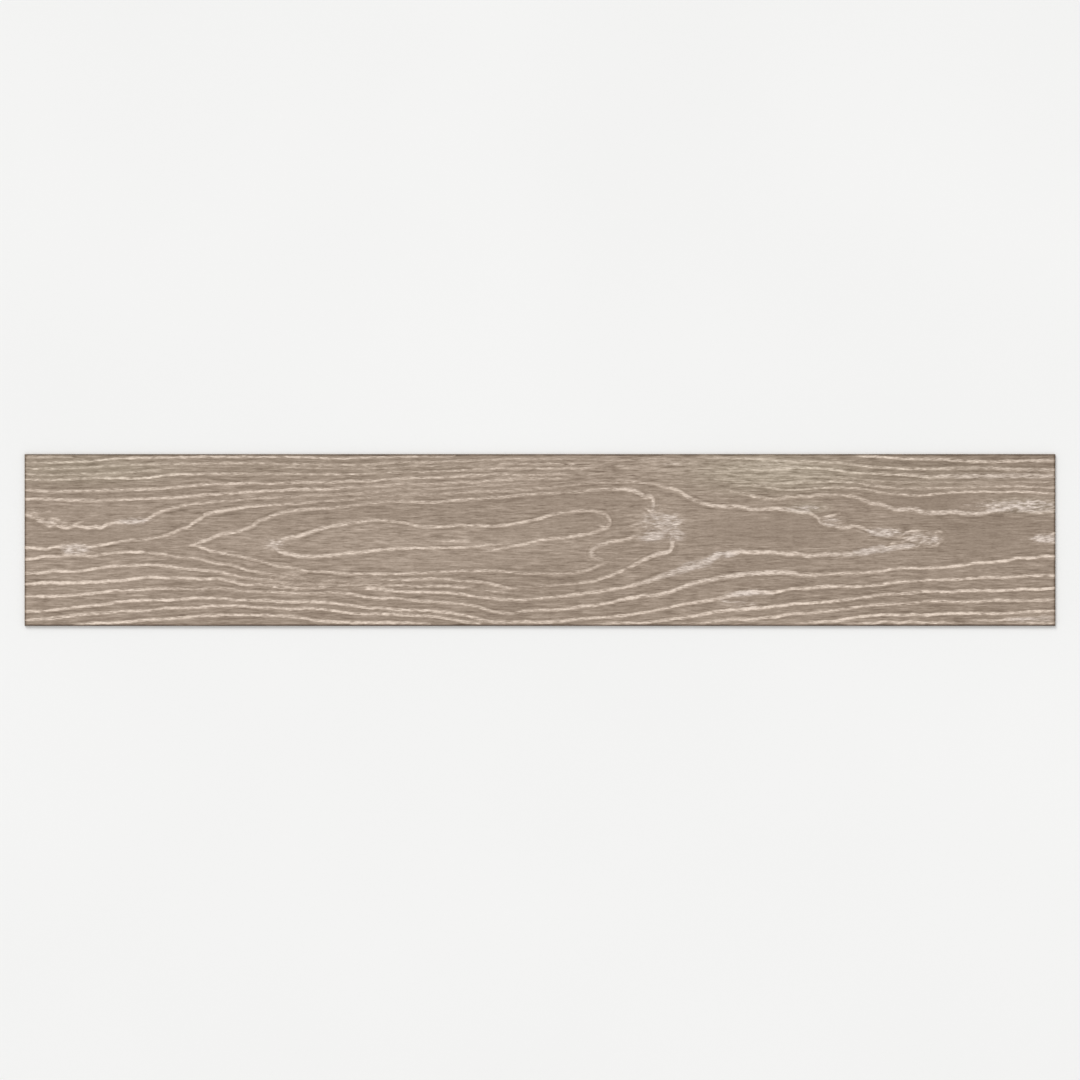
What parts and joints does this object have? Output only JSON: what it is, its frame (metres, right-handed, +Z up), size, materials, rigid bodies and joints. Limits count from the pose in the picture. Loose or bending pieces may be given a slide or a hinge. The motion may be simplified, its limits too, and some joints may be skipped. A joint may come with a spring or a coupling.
{
  "type": "vinyl floor plank",
  "caption": "Flat rectangular wood-look vinyl floor plank with square-cut sides and a small bevel round its wear face, bonded flat to a subfloor and butted against its neighbours.",
  "frame": {"origin": "centre of the bonding face, on the floor that the plank lies on", "axes": "+X along the plank and its grain, +Y across its width, +Z up out of the wear face"},
  "size_m": [0.9144, 0.1524, 0.0025],
  "materials": {
    "vinyl": "matte embossed wood print, limed grey-brown oak"
  },
  "bodies": {
    "root": {"vinyl_plank": "vinyl"}
  },
  "joints": []
}
